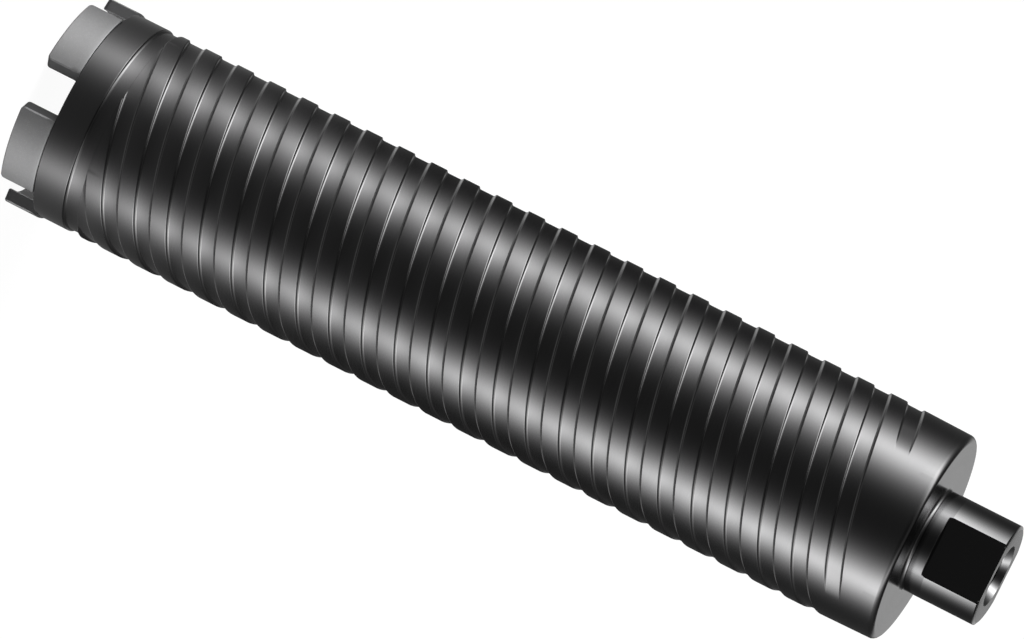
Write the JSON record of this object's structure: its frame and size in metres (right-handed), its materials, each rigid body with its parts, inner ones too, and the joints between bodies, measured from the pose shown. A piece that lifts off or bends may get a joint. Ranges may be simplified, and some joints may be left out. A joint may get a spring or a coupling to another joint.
{
  "type": "diamond core bit",
  "caption": "Steel core bit for drilling masonry: a spiral-grooved barrel with diamond segments on its crown and a threaded hub with spanner flats.",
  "frame": {"origin": "on the barrel's axis, in the plane of the segments' tips that the bit stands on", "axes": "+Z along the barrel from the crown to the hub; -Y is the side that the picture shows"},
  "size_m": [0.0634, 0.0629, 0.296],
  "materials": {
    "barrel_steel": "turned and blackened, satin",
    "hub_steel": "turned and blackened, smooth",
    "segment_matrix": "sintered metal with diamond grit, matte"
  },
  "bodies": {
    "root": {"barrel_tube": "barrel_steel", "arbor_hub": "hub_steel", "segment_1": "segment_matrix", "segment_2": "segment_matrix", "segment_3": "segment_matrix", "segment_4": "segment_matrix", "segment_5": "segment_matrix"}
  },
  "joints": []
}
